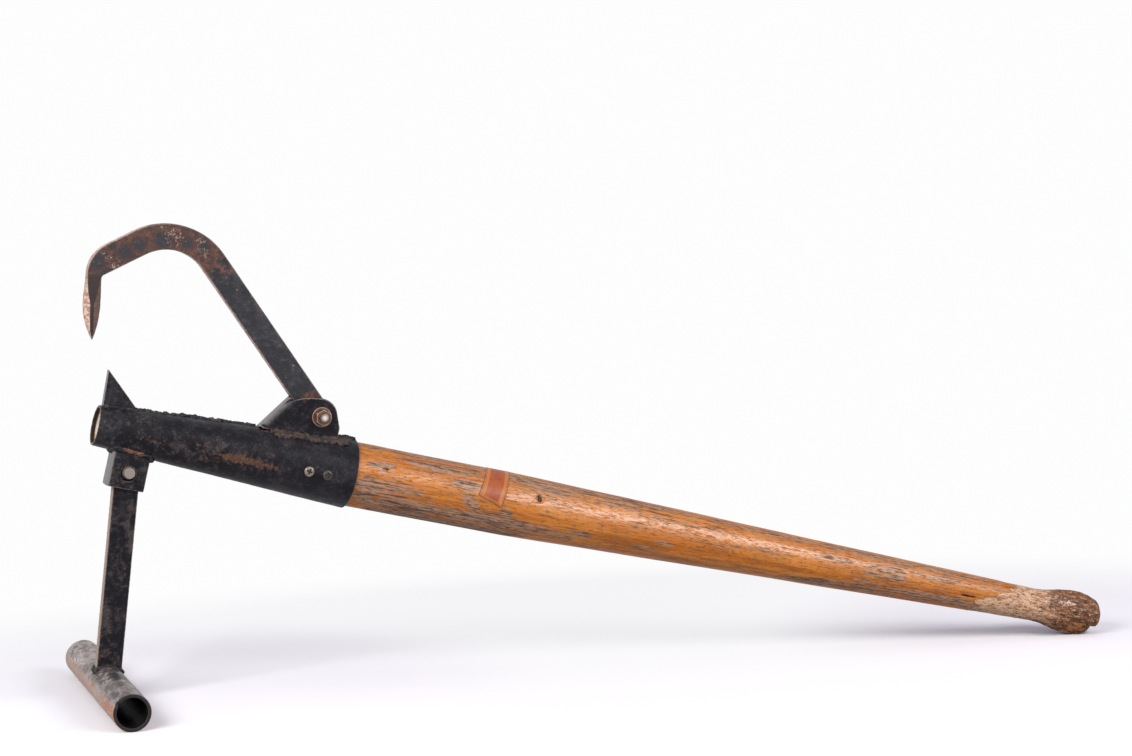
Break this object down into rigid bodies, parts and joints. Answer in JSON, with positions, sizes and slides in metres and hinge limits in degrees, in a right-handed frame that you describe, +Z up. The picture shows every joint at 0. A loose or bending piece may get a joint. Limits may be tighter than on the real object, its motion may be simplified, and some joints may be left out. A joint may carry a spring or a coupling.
{
  "type": "cant hook",
  "caption": "Log cant hook: a wooden lever in a tapered steel socket with a toe spike, a swinging hook on a bolted bracket and a pinned stand on a tubular foot.",
  "frame": {"origin": "on the ground under the middle of the stand's foot tube", "axes": "+X from the toe towards the end of the handle, +Y to the far side along the foot tube, +Z up"},
  "size_m": [1.1299, 0.276, 0.4699],
  "materials": {
    "wood": "worn varnish",
    "black_paint": "scuffed matt black paint",
    "worn_paint": "black paint worn to brown rust",
    "rusty_steel": "brown rust",
    "bare_steel": "dull bare steel",
    "scuffed_steel": "scuffed grey steel with light rust",
    "label_paper": "bare orange-brown paper"
  },
  "bodies": {
    "tool": {"handle": "wood", "socket": "black_paint", "seam_weld": "black_paint", "toe_spike": "black_paint", "toe_spike_weld": "black_paint", "hook_bracket": "black_paint", "hook_bracket_weld_near": "rusty_steel", "hook_bracket_weld_far": "rusty_steel", "stand_bracket": "black_paint", "stand_bracket_weld": "black_paint", "handle_screws": "bare_steel", "label": "label_paper", "pivot_bolt": "bare_steel", "pivot_washer": "rusty_steel", "pivot_nut": "rusty_steel"},
    "hook": {"hook": "worn_paint"},
    "stand": {"stand_stem": "black_paint", "stem_weld": "black_paint", "foot_tube": "scuffed_steel"},
    "pin": {"stand_pin": "bare_steel"}
  },
  "joints": [
    {"name": "hook_swing", "type": "hinge", "parent": "tool", "child": "hook", "pos_m": [0.21582, 0, 0.27588], "axis": [0, 1, 0], "range_deg": [0, 135]},
    {"name": "stand_rock", "type": "hinge", "parent": "tool", "child": "stand", "pos_m": [0.02221, 0, 0.22813], "axis": [0, 1, 0], "range_deg": [-3.2, 17]},
    {"name": "pin_pull", "type": "slide", "parent": "tool", "child": "pin", "axis": [0, 1, 0], "range_m": [0, 0.035]}
  ]
}
